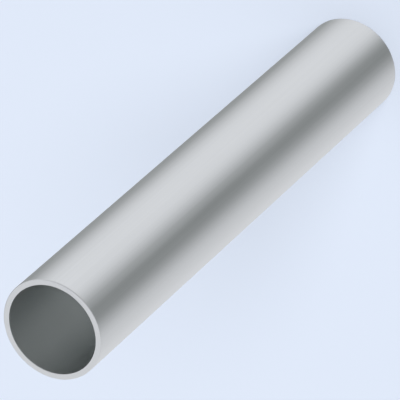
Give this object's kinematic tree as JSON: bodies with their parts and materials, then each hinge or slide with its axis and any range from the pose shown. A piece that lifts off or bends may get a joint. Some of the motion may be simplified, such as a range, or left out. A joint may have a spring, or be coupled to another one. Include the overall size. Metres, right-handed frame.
{
  "type": "round aluminium tube",
  "caption": "Straight round aluminium tube with an open bore, sawn square and lightly deburred at the ends; stock for frames, rails, spacers and supports.",
  "frame": {"origin": "centre of the lower end, on the tube's axis, in the plane of the surface it stands on", "axes": "+Z along the tube's axis, from the lower end to the upper end; X and Y lie across the tube, which is the same all the way round"},
  "size_m": [0.035, 0.035, 0.215],
  "materials": {
    "aluminium": "satin mill finish with faint lengthwise draw lines; sawn and deburred ends"
  },
  "bodies": {
    "root": {"tube": "aluminium"}
  },
  "joints": []
}
